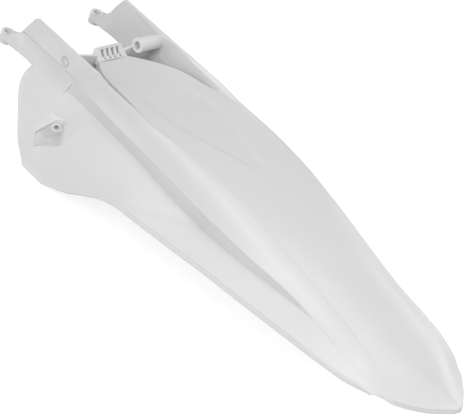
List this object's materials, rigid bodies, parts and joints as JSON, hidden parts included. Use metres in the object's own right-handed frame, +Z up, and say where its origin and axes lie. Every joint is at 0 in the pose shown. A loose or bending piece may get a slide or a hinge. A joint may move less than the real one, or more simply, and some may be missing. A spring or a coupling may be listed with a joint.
{
  "type": "motorcycle rear fender",
  "caption": "One-piece moulded rear fender with two forward mounting arms, a raised crown, side skirts and a turned-down rim.",
  "frame": {"origin": "midway between the two eye holes, on the top faces of the eyes", "axes": "+X from the eyes towards the tail, +Y to the rider's right, +Z up"},
  "size_m": [0.6018, 0.1988, 0.1217],
  "materials": {
    "white_plastic": "smooth moulded white polypropylene, soft gloss"
  },
  "bodies": {
    "root": {"rear_fender": "white_plastic"}
  },
  "joints": []
}
